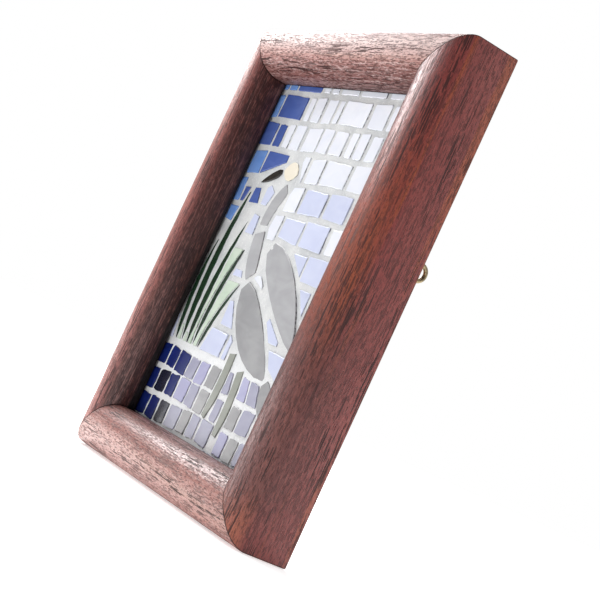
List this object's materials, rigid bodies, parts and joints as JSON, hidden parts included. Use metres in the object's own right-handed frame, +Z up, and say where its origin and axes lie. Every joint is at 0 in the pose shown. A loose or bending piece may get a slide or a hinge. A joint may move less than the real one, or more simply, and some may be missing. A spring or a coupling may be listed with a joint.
{
  "type": "framed mosaic panel",
  "caption": "Small framed glass mosaic of a wading bird among reeds, in a mitred bullnose hardwood frame that hangs from screw eyes or stands on its edge.",
  "frame": {"origin": "middle of the flat underside of the bottom rail", "axes": "+Z up, +Y out of the back, so the picture faces -Y, and +X to the viewer's right"},
  "size_m": [0.14, 0.0312, 0.168],
  "materials": {
    "wood": "satin",
    "board": "matte",
    "grout": "matte",
    "brass": "satin",
    "amber_glass": "gloss",
    "cream_glass": "gloss",
    "pearl_glass": "gloss",
    "silver_glass": "gloss",
    "green_glass": "gloss",
    "pale_green_glass": "gloss",
    "white_glass": "gloss",
    "lavender_glass": "gloss",
    "cornflower_glass": "gloss",
    "navy_glass": "gloss"
  },
  "bodies": {
    "root": {"bottom_rail": "wood", "top_rail": "wood", "left_rail": "wood", "right_rail": "wood", "left_screw_eye": "brass", "right_screw_eye": "brass", "backing_board": "board", "bird_beak": "amber_glass", "bird_head": "cream_glass", "bird_upper_neck": "pearl_glass", "bird_lower_neck": "pearl_glass", "bird_body": "silver_glass", "bird_wing": "pearl_glass", "bird_tail": "silver_glass", "bird_front_leg": "silver_glass", "bird_rear_leg": "silver_glass", "reed_1": "green_glass", "reed_2": "green_glass", "reed_3": "green_glass", "reed_4": "green_glass", "reed_5": "green_glass", "reed_sliver_1": "pale_green_glass", "reed_sliver_2": "pale_green_glass", "reed_sliver_3": "pale_green_glass", "reed_sliver_4": "pale_green_glass", "sky_3_1_1": "navy_glass", "sky_3_2_1": "white_glass", "sky_4_1_1": "navy_glass", "sky_4_1_2": "navy_glass", "sky_4_2_1": "lavender_glass", "sky_4_3_1": "white_glass", "sky_5_1_1": "cornflower_glass", "sky_5_2_1": "lavender_glass", "sky_5_3_1": "white_glass", "sky_5_4_1": "lavender_glass", "sky_6_4_1": "lavender_glass", "sky_7_2_1": "lavender_glass", "sky_7_3_1": "white_glass", "sky_7_5_1": "lavender_glass", "sky_8_3_1": "lavender_glass", "sky_8_5_1": "lavender_glass", "sky_8_6_1": "white_glass", "sky_9_0_1": "lavender_glass", "sky_9_2_1": "lavender_glass", "sky_9_3_1": "lavender_glass", "sky_9_5_1": "lavender_glass", "grout": "grout"}
  },
  "joints": []
}
